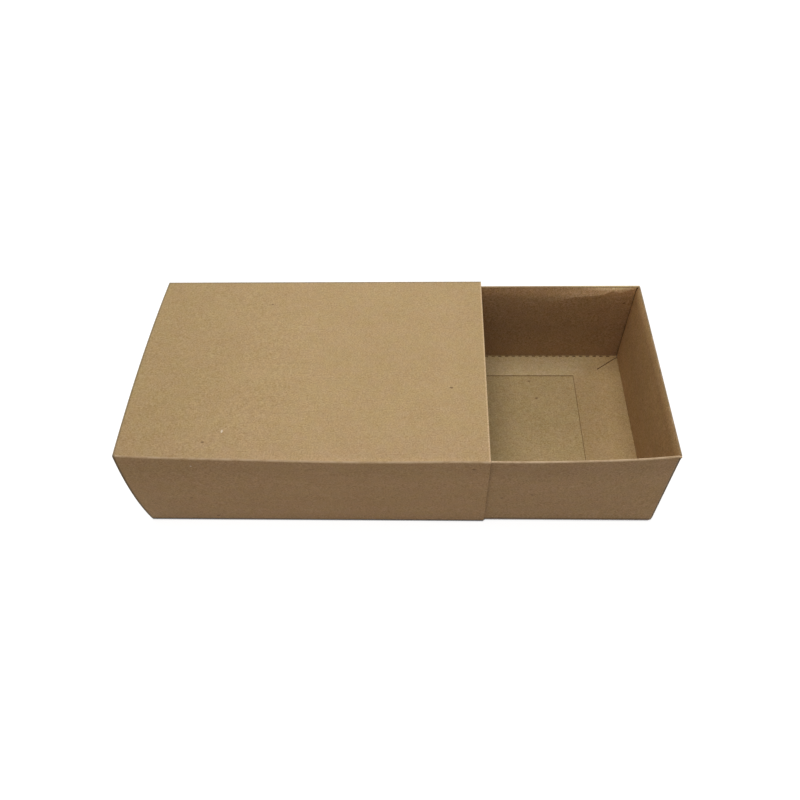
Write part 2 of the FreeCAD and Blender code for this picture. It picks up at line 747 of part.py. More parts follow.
bodies = [
    sleeve_bottom_panel(),
    sleeve_front_panel(),
    sleeve_top_panel(),
    sleeve_back_panel(),
    sleeve_glue_flap(),
    drawer_floor(),
    long_outer_wall("drawer_front_outer_wall", FRONT),
    front_inner_wall(),
    side_flange("drawer_front_floor_flange", FRONT),
    long_outer_wall("drawer_back_outer_wall", BACK),
    back_inner_wall(),
    side_flange("drawer_back_floor_flange", BACK),
]
for end_name, end in (("left", LEFT), ("right", RIGHT)):
    bodies.append(end_outer_wall(f"drawer_{end_name}_outer_wall", end))
    bodies.append(end_inner_wall(f"drawer_{end_name}_inner_wall", end))
    bodies.append(end_flange(f"drawer_{end_name}_floor_flange", end))
    for side_name, side in (("front", FRONT), ("back", BACK)):
        bodies.append(corner_flap(f"drawer_{end_name}_{side_name}_corner_flap", end, side))

doc.recompute()
write_parts(bodies)
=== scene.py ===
"""Sliding drawer gift box of kraft board: the finishes of its panels, floor, light and camera."""

import math

import bpy
from mathutils import Matrix, Vector


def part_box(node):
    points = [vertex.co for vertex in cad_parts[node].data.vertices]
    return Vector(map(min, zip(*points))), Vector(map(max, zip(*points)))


bl_info = {
    "name": "Sliding drawer gift box",
    "version": (1, 0, 0),
    "blender": (4, 5, 0),
    "location": "View3D > Sidebar > Gift box",
    "description": "Finishes a kraft board sleeve and its drawer, and sets them on a pale floor",
    "category": "Object",
}

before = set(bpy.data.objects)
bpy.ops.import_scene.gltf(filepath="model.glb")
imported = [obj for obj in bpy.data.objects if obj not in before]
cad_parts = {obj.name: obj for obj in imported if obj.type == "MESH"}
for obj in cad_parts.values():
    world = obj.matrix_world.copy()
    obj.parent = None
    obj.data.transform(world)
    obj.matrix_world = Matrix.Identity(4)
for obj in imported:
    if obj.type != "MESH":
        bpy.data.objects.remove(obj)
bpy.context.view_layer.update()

MM = 0.001


# ---------------------------------------------------------------- sizes and colours

class KraftBoardSettings(bpy.types.PropertyGroup):
    """The look of the board."""

    face_colour: bpy.props.FloatVectorProperty(
        name="Face colour",
        description="Colour of the board's face",
        subtype="COLOR", size=3, min=0.0, max=1.0,
        default=(0.434, 0.291, 0.154))
    core_colour: bpy.props.FloatVectorProperty(
        name="Core colour",
        description="Colour of the cut edges, where the board's paler core shows",
        subtype="COLOR", size=3, min=0.0, max=1.0,
        default=(0.66, 0.52, 0.36))
    # The fold colour is partly the face that a fold has stretched and partly a painted highlight
    # on the faces that turn up.
    fold_and_highlight_colour: bpy.props.FloatVectorProperty(
        name="Fold colour",
        description="Colour of the face where a fold has stretched it",
        subtype="COLOR", size=3, min=0.0, max=1.0,
        default=(0.60, 0.45, 0.28))
    dark_fleck_colour: bpy.props.FloatVectorProperty(
        name="Dark fleck colour",
        description="Colour of the dark fibres in the board",
        subtype="COLOR", size=3, min=0.0, max=1.0,
        default=(0.16, 0.09, 0.04))
    pale_fleck_colour: bpy.props.FloatVectorProperty(
        name="Pale fleck colour",
        description="Colour of the bleached fibres in the board",
        subtype="COLOR", size=3, min=0.0, max=1.0,
        default=(0.75, 0.66, 0.52))
    roughness: bpy.props.FloatProperty(
        name="Roughness",
        description="Roughness of the board's face",
        subtype="FACTOR", min=0.0, max=1.0, default=0.72)


class StageSettings(bpy.types.PropertyGroup):
    """The floor, the light and the camera."""

    floor_size: bpy.props.FloatProperty(
        name="Floor size",
        description="Side of the square floor",
        subtype="DISTANCE", unit="LENGTH", min=1.0, default=8.0)
    floor_colour: bpy.props.FloatVectorProperty(
        name="Floor colour",
        description="Colour of the floor as the box sees it",
        subtype="COLOR", size=3, min=0.0, max=1.0,
        default=(0.79, 0.745, 0.70))
    top_light_watts: bpy.props.FloatProperty(
        name="Top light",
        description="Power of the soft light over the box",
        subtype="POWER", unit="POWER", min=0.0, default=16.8)
    back_light_watts: bpy.props.FloatProperty(
        name="Back light",
        description="Power of the soft light behind the box",
        subtype="POWER", unit="POWER", min=0.0, default=8.9)
    sky_strength: bpy.props.FloatProperty(
        name="Sky strength",
        description="Strength of the even light from all around",
        min=0.0, default=0.15)
    sky_colour: bpy.props.FloatVectorProperty(
        name="Sky colour",
        description="Colour of the even light from all around",
        subtype="COLOR", size=3, min=0.0, max=1.0,
        default=(1.0, 0.84, 0.76))
    camera_place: bpy.props.FloatVectorProperty(
        name="Camera place",
        description="Where the camera stands",
        subtype="TRANSLATION", unit="LENGTH", size=3,
        default=(0.060187, -0.234241, 0.328182))
    camera_down: bpy.props.FloatProperty(
        name="Camera pitch",
        description="How far the camera looks down from level",
        subtype="ANGLE", unit="ROTATION", default=math.radians(52.107))
    camera_turn: bpy.props.FloatProperty(
        name="Camera turn",
        description="How far the camera is turned to the left",
        subtype="ANGLE", unit="ROTATION", default=math.radians(2.772))
    camera_roll: bpy.props.FloatProperty(
        name="Camera roll",
        description="How far the camera leans to one side",
        subtype="ANGLE", unit="ROTATION", default=math.radians(-2.105))
    camera_lens: bpy.props.FloatProperty(
        name="Camera lens",
        description="Focal length on a sensor 36 mm wide",
        min=1.0, default=32.526)
    camera_shift: bpy.props.FloatProperty(
        name="Camera shift",
        description="Sideways shift of the picture, as a share of its width",
        default=-0.016695)


# ---------------------------------------------------------------- shader helpers

def colour(values):
    """The four values that a colour socket takes."""
    return (*values, 1.0)


class Graph:
    """Adds and links the nodes of one tree."""

    def __init__(self, tree):
        self.tree = tree

    def node(self, kind, **values):
        made = self.tree.nodes.new(kind)
        for name, value in values.items():
            setattr(made, name, value)
        return made

    def link(self, output, socket):
        self.tree.links.new(output, socket)

    def feed(self, socket, value):
        """Links the value if it is another node's output, and sets it otherwise."""
        if isinstance(value, bpy.types.NodeSocket):
            self.link(value, socket)
        else:
            socket.default_value = value

    def maths(self, operation, *values, clamp=False):
        made = self.node("ShaderNodeMath", operation=operation, use_clamp=clamp)
        for socket, value in zip(made.inputs, values):
            self.feed(socket, value)
        return made.outputs["Value"]

    def vector_maths(self, operation, *values):
        made = self.node("ShaderNodeVectorMath", operation=operation)
        for socket, value in zip(made.inputs, values):
            self.feed(socket, value)
        return made.outputs["Value" if operation == "LENGTH" else "Vector"]

    def ramp(self, value, low, high, to_low=0.0, to_high=1.0):
        """A soft step: to_low where value is under low, to_high where it is over high."""
        made = self.node("ShaderNodeMapRange", interpolation_type="SMOOTHSTEP")
        self.feed(made.inputs["Value"], value)
        self.feed(made.inputs["From Min"], low)
        self.feed(made.inputs["From Max"], high)
        self.feed(made.inputs["To Min"], to_low)
        self.feed(made.inputs["To Max"], to_high)
        return made.outputs["Result"]

    def noise(self, vector, scale, detail, roughness):
        made = self.node("ShaderNodeTexNoise")
        self.feed(made.inputs["Vector"], vector)
        self.feed(made.inputs["Scale"], scale)
        self.feed(made.inputs["Detail"], detail)
        self.feed(made.inputs["Roughness"], roughness)
        return made.outputs["Fac"]

    def mapped(self, vector, scale=(1.0, 1.0, 1.0), turn=(0.0, 0.0, 0.0)):
        """The vector stretched, and turned by three angles, so that no two patterns lie alike."""
        made = self.node("ShaderNodeMapping")
        self.feed(made.inputs["Vector"], vector)
        self.feed(made.inputs["Rotation"], turn)
        self.feed(made.inputs["Scale"], scale)
        return made.outputs["Vector"]

    def mixed(self, factor, first, second):
        """The first colour where the factor is 0, and the second where it is 1."""
        made = self.node("ShaderNodeMix", data_type="RGBA")
        self.feed(made.inputs["Factor"], factor)
        self.feed(made.inputs["A"], first)
        self.feed(made.inputs["B"], second)
        return made.outputs["Result"]

    def tinted(self, under, mask, tint):
        """The colour under, multiplied by tint where the mask is 1."""
        made = self.node("ShaderNodeMix", data_type="RGBA", blend_type="MULTIPLY")
        self.feed(made.inputs["Factor"], mask)
        self.feed(made.inputs["A"], under)
        self.feed(made.inputs["B"], colour(tint))
        return made.outputs["Result"]

    def group(self, name):
        return self.node("ShaderNodeGroup", node_tree=bpy.data.node_groups[name])


def new_group(name, inputs, outputs):
    """A node group with the given (name, socket kind, default) inputs and (name, kind) outputs."""
    tree = bpy.data.node_groups.new(name, "ShaderNodeTree")
    for socket_name, kind, default in inputs:
        socket = tree.interface.new_socket(name=socket_name, in_out="INPUT", socket_type=kind)
        if default is not None:
            socket.default_value = default
    for socket_name, kind in outputs:
        tree.interface.new_socket(name=socket_name, in_out="OUTPUT", socket_type=kind)
    graph = Graph(tree)
    return graph, graph.node("NodeGroupInput"), graph.node("NodeGroupOutput")


# ---------------------------------------------------------------- shared patterns

# How fine the patterns of the board are, in repeats per metre, and how much each one lightens
# and darkens it.
CLOUD_SCALE, CLOUD_DEPTH = 55.0, 0.16
BLOTCH_SCALE, BLOTCH_DEPTH = 380.0, 0.26
FIBRE_SCALE, FIBRE_DEPTH = 1500.0, 0.62
SPECKLE_SCALE, SPECKLE_DEPTH = 1500.0, 0.82
FIBRE_STRETCH = (0.7, 1.0, 1.0)

# The patterns' strength in red, green and blue.  The board is brown, so an even grain needs more
# of it in blue.
GRAIN_STRENGTH = (0.80, 1.0, 1.45)

# Patches of a slightly different hue: (how they are turned, scale, tint).
HUE_DRIFTS = (
    ((0.7, 0.1, 0.4), 300.0, (1.015, 1.0, 0.94)),
    ((0.2, 0.9, 0.6), 110.0, (0.98, 1.004, 0.95)),
)
DRIFT_RANGE = (0.38, 0.62)

# The flecks: stretch and turn of their cells, cells per metre, share of the cells that hold one,
# its size as a share of its cell, and how strong it is.
DARK_FLECKS = {"stretch": (0.55, 1.0, 1.0), "turn": (0.3, 0.2, 0.6),
               "scale": 260.0, "share": 0.035, "size": 0.17, "strength": 0.85}
PALE_FLECKS = {"stretch": (1.0, 0.5, 1.0), "turn": (0.1, 0.5, 1.1),
               "scale": 230.0, "share": 0.010, "size": 0.13, "strength": 0.9}

# The relief of the board is mostly its fibres.
FIBRE_RELIEF, BLOTCH_RELIEF = 0.6, 0.4

# Wear: scale of its pattern, where the pattern starts and is full, and how much is left of a
# fold's or a cut's tone where there is none.
WEAR_SCALE = 200.0
WEAR_RANGE = (0.32, 0.62)
LEAST_WEAR = 0.4

# How far a face has to turn to count as turned up, or as a cut edge.
UPWARD_RANGE = (0.25, 0.65)
CUT_RANGE = (0.6, 0.9)


def flecks(graph, place, stretch, turn, scale, share, size, strength):
    """A mask of scattered specks: one in some of the cells of a Voronoi pattern."""
    cells = graph.node("ShaderNodeTexVoronoi", feature="F1")
    graph.link(graph.mapped(place, stretch, turn), cells.inputs["Vector"])
    cells.inputs["Scale"].default_value = scale
    chosen = graph.node("ShaderNodeSeparateColor")
    graph.link(cells.outputs["Color"], chosen.inputs["Color"])
    present = graph.maths("LESS_THAN", chosen.outputs["Red"], share)
    body = graph.ramp(cells.outputs["Distance"], size / 2, size, 1.0, 0.0)
    return graph.maths("MULTIPLY", graph.maths("MULTIPLY", present, body), strength)


def kraft_fibre_group():
    """Cloudy formation, fibre grain and flecks of kraft board."""
    graph, inputs, outputs = new_group(
        "kraft_fibres",
        [
            ("Vector", "NodeSocketVector", None),
            ("Face", "NodeSocketColor", (0.5, 0.35, 0.2, 1.0)),
            ("Dark Fleck", "NodeSocketColor", (0.1, 0.06, 0.03, 1.0)),
            ("Pale Fleck", "NodeSocketColor", (0.8, 0.7, 0.6, 1.0)),
            ("Mottle", "NodeSocketFloat", 1.0),
        ],
        [
            ("Color", "NodeSocketColor"),
            ("Height", "NodeSocketFloat"),
            ("Grain", "NodeSocketFloat"),
        ],
    )
    place = inputs.outputs["Vector"]
    clouds = graph.noise(place, CLOUD_SCALE, detail=3.0, roughness=0.55)
    blotches = graph.noise(place, BLOTCH_SCALE, detail=3.0, roughness=0.6)
    along_fibres = graph.mapped(place, FIBRE_STRETCH)
    fibres = graph.noise(along_fibres, FIBRE_SCALE, detail=2.0, roughness=0.6)
    speckle = graph.noise(place, SPECKLE_SCALE, detail=1.0, roughness=0.5)

    shade = 0.0
    for pattern, depth in (
        (clouds, CLOUD_DEPTH),
        (blotches, BLOTCH_DEPTH),
        (fibres, FIBRE_DEPTH),
        (speckle, SPECKLE_DEPTH),
    ):
        centred = graph.maths("SUBTRACT", pattern, 0.5)
        shade = graph.maths("MULTIPLY_ADD", centred, depth, shade)
    shade = graph.maths("MULTIPLY", shade, inputs.outputs["Mottle"])
    grain = graph.vector_maths("MULTIPLY_ADD", shade, GRAIN_STRENGTH, (1.0, 1.0, 1.0))
    face = graph.vector_maths("MULTIPLY", inputs.outputs["Face"], grain)
    for turn, scale, tint in HUE_DRIFTS:
        drift = graph.noise(graph.mapped(place, turn=turn), scale, detail=2.0, roughness=0.6)
        face = graph.tinted(face, graph.ramp(drift, *DRIFT_RANGE), tint)
    face = graph.mixed(flecks(graph, place, **DARK_FLECKS), face, inputs.outputs["Dark Fleck"])
    face = graph.mixed(flecks(graph, place, **PALE_FLECKS), face, inputs.outputs["Pale Fleck"])
    graph.link(face, outputs.inputs["Color"])

    relief = graph.maths("MULTIPLY", blotches, BLOTCH_RELIEF)
    relief = graph.maths("MULTIPLY_ADD", fibres, FIBRE_RELIEF, relief)
    graph.link(relief, outputs.inputs["Height"])
    graph.link(speckle, outputs.inputs["Grain"])


def past_a_line_group():
    """A mask that is 1 past a place along one axis, with a soft side."""
    graph, inputs, outputs = new_group(
        "past_a_line",
        [
            ("Along", "NodeSocketFloat", 0.0),
            ("Line", "NodeSocketFloat", 0.0),
            ("Softness", "NodeSocketFloat", 0.001),
        ],
        [("Mask", "NodeSocketFloat")],
    )
    past = graph.maths("SUBTRACT", inputs.outputs["Along"], inputs.outputs["Line"])
    share = graph.maths("DIVIDE", past, inputs.outputs["Softness"])
    graph.link(graph.ramp(share, 0.0, 1.0), outputs.inputs["Mask"])


def turned_faces_group():
    """Masks of the faces that turn up, as on a fold or rim, and of the cut edges that face along
    or across the slide.  Wear breaks up all three."""
    graph, inputs, outputs = new_group(
        "turned_faces",
        [("Vector", "NodeSocketVector", None)],
        [
            ("Upward", "NodeSocketFloat"),
            ("Endwise", "NodeSocketFloat"),
            ("Sidewise", "NodeSocketFloat"),
        ],
    )
    turn = graph.node("ShaderNodeSeparateXYZ")
    graph.link(graph.node("ShaderNodeNewGeometry").outputs["Normal"], turn.inputs["Vector"])
    worn = graph.noise(inputs.outputs["Vector"], WEAR_SCALE, detail=3.0, roughness=0.6)
    wear = graph.ramp(worn, *WEAR_RANGE, LEAST_WEAR, 1.0)
    upward = graph.ramp(turn.outputs["Z"], *UPWARD_RANGE)
    graph.link(graph.maths("MULTIPLY", upward, wear), outputs.inputs["Upward"])
    for axis, name in (("X", "Endwise"), ("Y", "Sidewise")):
        cut = graph.ramp(graph.maths("ABSOLUTE", turn.outputs[axis]), *CUT_RANGE)
        graph.link(graph.maths("MULTIPLY", cut, wear), outputs.inputs[name])


# ---------------------------------------------------------------- the board's finish

# How much of the core's colour shows on cut edges, the relief of the face, how far its roughness
# follows the grain, and its shine.
CUT_STRENGTH = 0.9
BUMP_STRENGTH = 0.25
BUMP_HEIGHT = 0.05 * MM
ROUGHNESS_SPREAD = 0.05
GRAIN_RANGE = (0.3, 0.7)
SPECULAR_LEVEL = 0.35


class Board:
    """A kraft board finish for one panel or for a group of like panels."""

    def __init__(self, name, tone=(1.0, 1.0, 1.0), mottle=1.0):
        self.settings = bpy.context.scene.kraft_board
        self.material = bpy.data.materials.new(name)
        self.material.use_nodes = True
        self.graph = Graph(self.material.node_tree)
        self.shader = self.material.node_tree.nodes["Principled BSDF"]
        place = self.graph.node("ShaderNodeTexCoord").outputs["Object"]
        self.axes = self.graph.node("ShaderNodeSeparateXYZ")
        self.graph.link(place, self.axes.inputs["Vector"])
        self.faces = self.graph.group("turned_faces")
        self.graph.link(place, self.faces.inputs["Vector"])
        self.fibres = self.graph.group("kraft_fibres")
        self.graph.link(place, self.fibres.inputs["Vector"])
        face = [channel * share for channel, share in zip(self.settings.face_colour, tone)]
        dark, pale = self.settings.dark_fleck_colour, self.settings.pale_fleck_colour
        self.fibres.inputs["Face"].default_value = colour(face)
        self.fibres.inputs["Mottle"].default_value = mottle
        self.fibres.inputs["Dark Fleck"].default_value = colour(dark)
        self.fibres.inputs["Pale Fleck"].default_value = colour(pale)
        self.colour = self.fibres.outputs["Color"]

    def mask(self, label, axis, start, end):
        """A mask that comes in from start to end along an axis, and stays on past the end."""
        band = self.graph.group("past_a_line")
        band.label = label
        self.graph.link(self.axes.outputs[axis], band.inputs["Along"])
        band.inputs["Line"].default_value = start
        band.inputs["Softness"].default_value = end - start
        return band.outputs["Mask"]

    def overlap(self, first, second):
        """A mask that is on where both of the given ones are."""
        return self.graph.maths("MULTIPLY", first, second)

    def tint(self, mask, tint):
        """Multiplies the colour by a tint where the mask is on."""
        self.colour = self.graph.tinted(self.colour, mask, tint)

    def tint_turned(self, way, tint):
        """Tints the faces that are turned upward, endwise or sidewise."""
        self.tint(self.faces.outputs[way], tint)

    def tint_past(self, label, axis, start, end, tint):
        """Tints the board past a place, with the tone coming in from start to end."""
        self.tint(self.mask(label, axis, start, end), tint)

    def turned_to(self, way, tone, strength):
        """Mixes a tone into the faces that are turned upward, endwise or sidewise."""
        mask = self.graph.maths("MULTIPLY", self.faces.outputs[way], strength)
        self.colour = self.graph.mixed(mask, self.colour, colour(tone))

    def pale_folds_and_highlight(self, strength):
        """Pale, stretched face and a painted highlight on folds and rims, the faces that turn up.
        """
        self.turned_to("Upward", self.settings.fold_and_highlight_colour, strength)

    def pale_cuts(self):
        """Pale core on cut edges."""
        self.turned_to("Endwise", self.settings.core_colour, CUT_STRENGTH)

    def finish(self):
        """Links the colour, the relief and the roughness, and returns the material."""
        graph = self.graph
        graph.link(self.colour, self.shader.inputs["Base Color"])
        bump = graph.node("ShaderNodeBump")
        bump.inputs["Strength"].default_value = BUMP_STRENGTH
        bump.inputs["Distance"].default_value = BUMP_HEIGHT
        graph.link(self.fibres.outputs["Height"], bump.inputs["Height"])
        graph.link(bump.outputs["Normal"], self.shader.inputs["Normal"])
        smooth = self.settings.roughness - ROUGHNESS_SPREAD
        rough = self.settings.roughness + ROUGHNESS_SPREAD
        varied = graph.ramp(self.fibres.outputs["Grain"], *GRAIN_RANGE, smooth, rough)
        graph.link(varied, self.shader.inputs["Roughness"])
        self.shader.inputs["Specular IOR Level"].default_value = SPECULAR_LEVEL
        return self.material


def dress(node, material):
    """Gives a CAD node its finish."""
    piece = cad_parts[node]
    piece.data.materials.clear()
    piece.data.materials.append(material)


# ---------------------------------------------------------------- the sleeve

# The front walls of the sleeve and the drawer stand in the same light: from 38 mm up they darken
# towards the rim, and from 20 mm down the floor lights them.
UPPER_SHADE = (38 * MM, 52 * MM)
FLOOR_GLOW = (20 * MM, 6 * MM)


class GIFTBOX_OT_sleeve(bpy.types.Operator):
    """Finish the sleeve's panels"""

    bl_idname = "giftbox.sleeve"
    bl_label = "Sleeve"

    def execute(self, context):
        dress("sleeve_top_panel", sleeve_top())
        dress("sleeve_front_panel", sleeve_front())
        dress("sleeve_back_panel", sleeve_back())
        hidden = sleeve_inside()
        dress("sleeve_glue_flap", hidden)
        dress("sleeve_bottom_panel", hidden)
        return {"FINISHED"}


def sleeve_top():
    """Darker towards the empty end, with a pale edge at the mouth, a painted highlight along the
    front fold, and painted shade on its back edge and the empty end's edge.
    """
    (left, front, _), (mouth, back, _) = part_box("sleeve_top_panel")
    board = Board("kraft_sleeve_top", tone=(1.035, 1.06, 1.0))
    board.tint_past("towards the empty end", "X", 0.0, left, (0.87, 0.87, 0.83))
    board.tint_past("towards the front", "Y", front + 25 * MM, front, (1.0, 0.985, 1.04))
    # Painted highlight along the front fold, coming in towards the mouth.
    painted_fold_highlight = board.mask("front fold", "Y", front + 3 * MM, front + 0.5 * MM)
    towards_mouth = board.mask("towards the mouth", "X", -60 * MM, 60 * MM)
    board.tint(board.overlap(painted_fold_highlight, towards_mouth), (1.10, 1.10, 1.10))
    # Painted shade on the back edge and on the empty end's edge.
    board.tint_past("back edge", "Y", back - 0.9 * MM, back - 0.4 * MM, (0.82, 0.86, 0.90))
    board.tint_past("empty end's edge", "X", left + 1.1 * MM, left + 0.6 * MM, (0.68, 0.72, 0.76))
    board.tint_past("mouth's edge", "X", mouth - 0.8 * MM, mouth - 0.6 * MM, (1.32, 1.38, 1.60))
    return board.finish()


def sleeve_front():
    """Pale along its top fold, partly stretched face and partly painted highlight, with painted
    shade along its foot and at the empty end's edge.
    """
    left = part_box("sleeve_top_panel")[0][0]
    board = Board("kraft_sleeve_front", tone=(1.02, 0.975, 0.95), mottle=1.1)
    board.tint_past("upper part", "Z", *UPPER_SHADE, (0.94, 0.94, 0.93))
    board.tint_past("light off the floor", "Z", *FLOOR_GLOW, (1.05, 1.06, 1.09))
    board.tint_past("towards the empty end", "X", -40 * MM, -80 * MM, (0.96, 0.965, 0.96))
    board.pale_folds_and_highlight(0.8)
    # Painted shade along the foot and at the empty end's edge.
    board.tint_past("foot", "Z", 2.2 * MM, 1.0 * MM, (0.50, 0.46, 0.40))
    board.tint_past("empty end's edge", "X", left + 1.3 * MM, left + 0.7 * MM, (0.42, 0.44, 0.42))
    return board.finish()


def sleeve_back():
    """Painted shade on its top fold, which turns away."""
    board = Board("kraft_sleeve_back")
    # Painted shade on the top fold.
    board.tint_turned("Upward", (0.45, 0.50, 0.56))
    board.pale_cuts()
    return board.finish()


def sleeve_inside():
    """Plain board with pale cut edges."""
    board = Board("kraft_sleeve")
    board.pale_cuts()
    return board.finish()


# ---------------------------------------------------------------- the drawer

# Painted shade where cut board lies in its own shadow.
UPRIGHT_CUT_SHADE = (0.30, 0.28, 0.26)
FLOOR_CUT_SHADE = (0.46, 0.36, 0.25)


class GIFTBOX_OT_drawer(bpy.types.Operator):
    """Finish the drawer's panels"""

    bl_idname = "giftbox.drawer"
    bl_label = "Drawer"

    def execute(self, context):
        dress("drawer_front_outer_wall", drawer_front())
        dress("drawer_back_outer_wall", drawer_back())
        dress("drawer_back_inner_wall", buckled_wall())
        dress("drawer_front_inner_wall", Board("kraft_front_inner_wall").finish())
        dress("drawer_floor", drawer_floor())
        ends, plies, flanges, flaps = drawer_ends(), end_plies(), floor_frame(), corner_flaps()
        for side in ("left", "right"):
            dress(f"drawer_{side}_outer_wall", ends)
            dress(f"drawer_{side}_inner_wall", plies)
            for wall in ("front", "back"):
                dress(f"drawer_{side}_{wall}_corner_flap", flaps)
        for side in ("left", "right", "front", "back"):
            dress(f"drawer_{side}_floor_flange", flanges)
        return {"FINISHED"}


def drawer_front():
    """Pale along its rim, partly stretched face and partly painted highlight, with painted shade
    along its foot.
    """
    board = Board("kraft_drawer_front", tone=(0.985, 0.95, 0.93), mottle=1.25)
    board.tint_past("upper part", "Z", *UPPER_SHADE, (0.91, 0.90, 0.91))
    board.tint_past("light off the floor", "Z", *FLOOR_GLOW, (1.06, 1.08, 1.11))
    board.pale_folds_and_highlight(1.0)
    # Painted shade along the foot.
    board.tint_past("foot", "Z", 3.0 * MM, 1.7 * MM, (0.42, 0.38, 0.33))
    return board.finish()


def drawer_back():
    """A rim that is lit towards the drawer's outer end."""
    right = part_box("drawer_back_outer_wall")[1][0]
    board = Board("kraft_drawer_back")
    rim = board.faces.outputs["Upward"]
    board.tint(rim, (0.90, 0.90, 0.86))
    lit_end = board.mask("lit end", "X", right - 50 * MM, right - 20 * MM)
    board.tint(board.overlap(rim, lit_end), (1.52, 1.74, 1.80))
    return board.finish()


def drawer_ends():
    """Painted shade on the rims and on the cut edges at the corners."""
    board = Board("kraft_drawer_ends")
    # Painted shade on the rims and on the cut edges.
    board.tint_turned("Upward", (0.58, 0.56, 0.50))
    board.tint_turned("Sidewise", UPRIGHT_CUT_SHADE)
    return board.finish()


def corner_flaps():
    """Painted shade where a corner turns into the slit beside the end wall."""
    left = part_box("drawer_left_front_corner_flap")[0][0]
    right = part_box("drawer_right_front_corner_flap")[1][0]
    board = Board("kraft_corner_flaps")
    # Painted shade on the right and left turns of the corners.
    board.tint_past("right turn", "X", right - 0.9 * MM, right - 0.5 * MM, UPRIGHT_CUT_SHADE)
    board.tint_past("left turn", "X", left + 0.9 * MM, left + 0.5 * MM, UPRIGHT_CUT_SHADE)
    return board.finish()


def buckled_wall():
    """Painted light: lighter step by step up to its rim, and a painted highlight under the rim at
    the outer end.
    """
    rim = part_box("drawer_back_inner_wall")[1][2]
    board = Board("kraft_buckled_wall", tone=(0.915, 0.90, 1.02), mottle=1.35)
    # Painted light, growing in steps up the wall towards the rim.
    board.tint_past("lower part", "Z", 25 * MM, 38 * MM, (1.14, 1.14, 1.12))
    board.tint_past("middle", "Z", 36 * MM, 53 * MM, (1.22, 1.23, 1.20))
    board.tint_past("over the ridge", "Z", rim - 8 * MM, rim - 2 * MM, (1.28, 1.26, 1.24))
    # Painted highlight under the rim at the outer end.
    under_rim = board.mask("under the rim", "Z", rim - 1.9 * MM, rim - 0.7 * MM)
    lit_end = board.mask("lit end", "X", 138 * MM, 154 * MM)
    board.tint(board.overlap(under_rim, lit_end), (1.54, 1.78, 1.86))
    return board.finish()


def end_plies():
    """Lighter towards the rim and the back, darker towards the front: painted light and painted
    shade.
    """
    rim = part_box("drawer_back_inner_wall")[1][2]
    board = Board("kraft_end_plies", tone=(1.06, 1.00, 0.93), mottle=1.3)
    # Painted light towards the rim and the back, and painted shade towards the front.
    board.tint_past("towards the rim", "Z", 0.45 * rim, 0.85 * rim, (1.09, 1.07, 1.02))
    board.tint_past("towards the back", "Y", 0.0, 45 * MM, (1.11, 1.11, 1.12))
    board.tint_past("towards the front", "Y", -5 * MM, -50 * MM, (0.95, 0.95, 0.95))
    return board.finish()


def floor_window():
    """The left, right, front and back edge of the floor that the flanges leave open."""
    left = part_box("drawer_left_floor_flange")[1][0]
    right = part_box("drawer_right_floor_flange")[0][0]
    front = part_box("drawer_front_floor_flange")[1][1]
    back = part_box("drawer_back_floor_flange")[0][1]
    return left, right, front, back


def floor_frame():
    """One finish for the four flanges.  The end flanges are darker than the long ones, with a
    soft change across the corners."""
    left, right, front, back = floor_window()
    back_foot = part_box("drawer_back_floor_flange")[1][1]
    right_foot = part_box("drawer_right_floor_flange")[1][0]
    board = Board("kraft_floor_frame", tone=(1.10, 1.21, 1.25))
    graph = board.graph
    past_window = []
    for axis, low, high in (("X", left, right), ("Y", front, back)):
        off_middle = graph.maths("SUBTRACT", board.axes.outputs[axis], (low + high) / 2)
        half_span = (high - low) / 2
        past_window.append(graph.maths("SUBTRACT", graph.maths("ABSOLUTE", off_middle), half_span))
    endward = graph.ramp(graph.maths("SUBTRACT", *past_window), -9 * MM, 9 * MM)
    board.tint(endward, (0.81, 0.745, 0.655))
    board.tint_past("towards the back wall", "Y", back + 3 * MM, back_foot, (1.16, 1.15, 1.12))
    board.tint_past("towards the right end", "X", right + 5 * MM, right_foot, (1.08, 1.08, 1.06))
    # Painted shade on the flanges' cut edges.
    board.tint_turned("Endwise", FLOOR_CUT_SHADE)
    board.tint_turned("Sidewise", FLOOR_CUT_SHADE)
    return board.finish()


def drawer_floor():
    """Painted shade along and under the flanges' cut edges."""
    left, right, front, back = floor_window()
    painted_shadow_width = 0.35 * MM
    board = Board("kraft_drawer_floor", tone=(0.93, 0.985, 0.905), mottle=1.1)
    # Painted shadow along the window's edges and on the floor under the flanges.
    board.tint_past("right flange's edge", "X", right - painted_shadow_width, right, FLOOR_CUT_SHADE)
    board.tint_past("left flange's edge", "X", left + painted_shadow_width, left, FLOOR_CUT_SHADE)
    board.tint_past("back flange's edge", "Y", back - painted_shadow_width, back, FLOOR_CUT_SHADE)
    board.tint_past("front flange's edge", "Y", front + painted_shadow_width, front, FLOOR_CUT_SHADE)
    return board.finish()


# ---------------------------------------------------------------- floor, light and camera

# The soft lights: side of their square, distance from the place they light, how far they hang to
# the side as a share of that distance, and how high each stands.
LAMP_SIZE = 1.0
LAMP_DISTANCE = 1.6
LAMP_SIDE = -0.04
LIT_PLACE = Vector((0.04, 0.0, 0.03))
TOP_LIGHT_HEIGHT = math.radians(90)
BACK_LIGHT_HEIGHT = math.radians(30)

# The line of shadow where the box meets the floor.
CONTACT_REACH = 1.0 * MM
CONTACT_SAMPLES = 16
CONTACT_RANGE = (0.45, 0.9)
CONTACT_DARKEST = 0.06

# The floor as the camera sees it: its share of shaded grey, and its own brightness near the box
# and away from it, where it has turned fully white.
FLOOR_GREY = (0.25, 0.25, 0.25)
NEAR_AND_FAR = (0.3, 0.9)
NEAR_GLOW, FAR_GLOW = 0.90, 1.05

WHITE = (1.0, 1.0, 1.0)
SENSOR_WIDTH = 36.0
NEAREST_SEEN = 0.01


